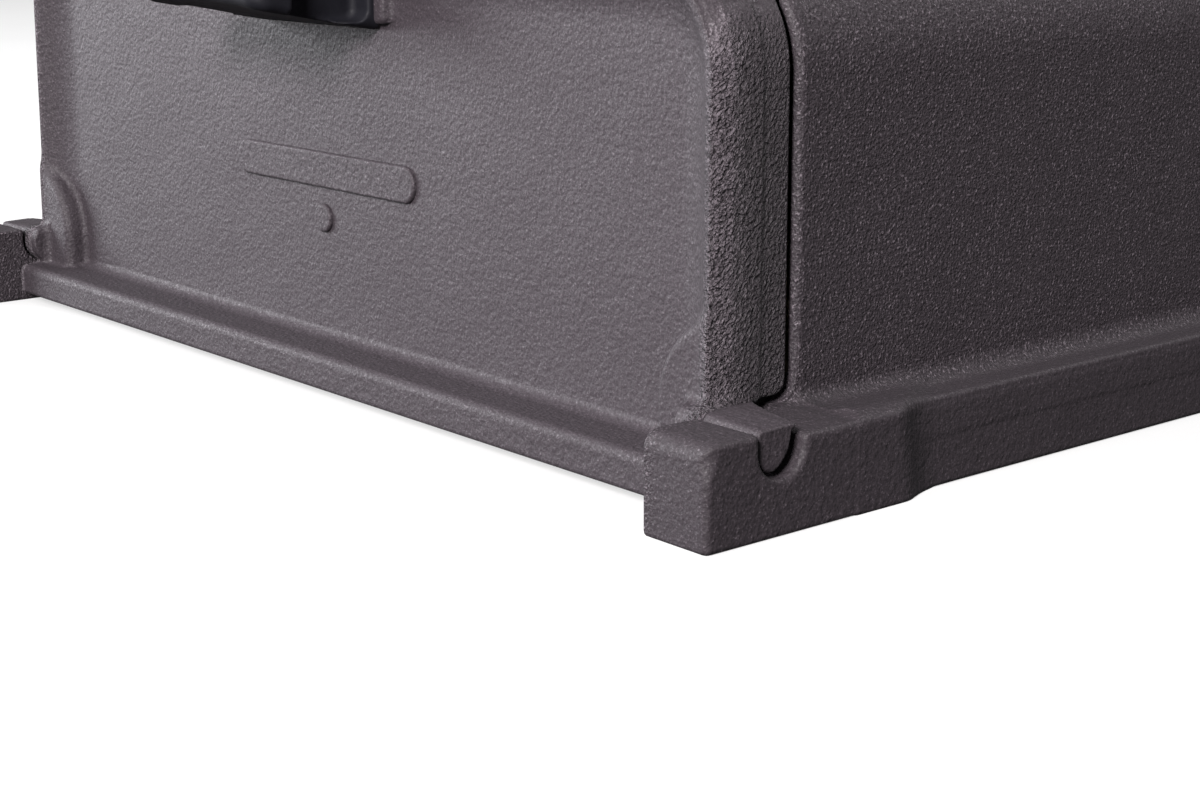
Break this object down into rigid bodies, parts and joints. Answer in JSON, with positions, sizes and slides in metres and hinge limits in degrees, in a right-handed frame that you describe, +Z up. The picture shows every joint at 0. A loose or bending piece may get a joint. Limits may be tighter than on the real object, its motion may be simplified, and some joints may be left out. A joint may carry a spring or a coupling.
{
  "type": "grill-top baking oven",
  "caption": "Low cast-iron baking oven with a drop-down front door on trunnions in open-topped notches, a pull handle and a baking stone inside.",
  "frame": {"origin": "centre of the oven's footprint, on the surface that it stands on", "axes": "+X runs across the oven to the right as seen from the front, +Y runs from the door to the rear wall, +Z is up"},
  "size_m": [0.37, 0.39, 0.125],
  "materials": {
    "hood_iron": "matte black sand-cast coating with a fine grain",
    "door_iron": "matte black sand-cast coating, coarser grain on the door's side walls",
    "handle_enamel": "smooth satin black enamel over iron",
    "fastener_steel": "plain turned steel",
    "stone": "unglazed buff cordierite, lightly pitted"
  },
  "bodies": {
    "hood": {"hood_shell": "hood_iron", "hood_rear_wall": "hood_iron", "right_hinge_block": "hood_iron", "left_hinge_block": "hood_iron", "right_base_rail": "hood_iron", "left_base_rail": "hood_iron", "rear_base_rail": "hood_iron", "front_crossbar": "hood_iron", "stone_lugs": "hood_iron", "baking_stone": "stone"},
    "door": {"door_panel": "door_iron", "door_rim": "door_iron", "door_sill": "door_iron", "door_feet": "door_iron", "right_trunnion": "door_iron", "left_trunnion": "door_iron", "door_badge": "door_iron", "door_handle": "handle_enamel", "handle_screws": "fastener_steel", "handle_washers": "fastener_steel"}
  },
  "joints": [
    {"name": "door_hinge", "type": "hinge", "parent": "hood", "child": "door", "pos_m": [0, -0.1618, 0.0199], "axis": [1, 0, 0], "range_deg": [0, 80]}
  ]
}
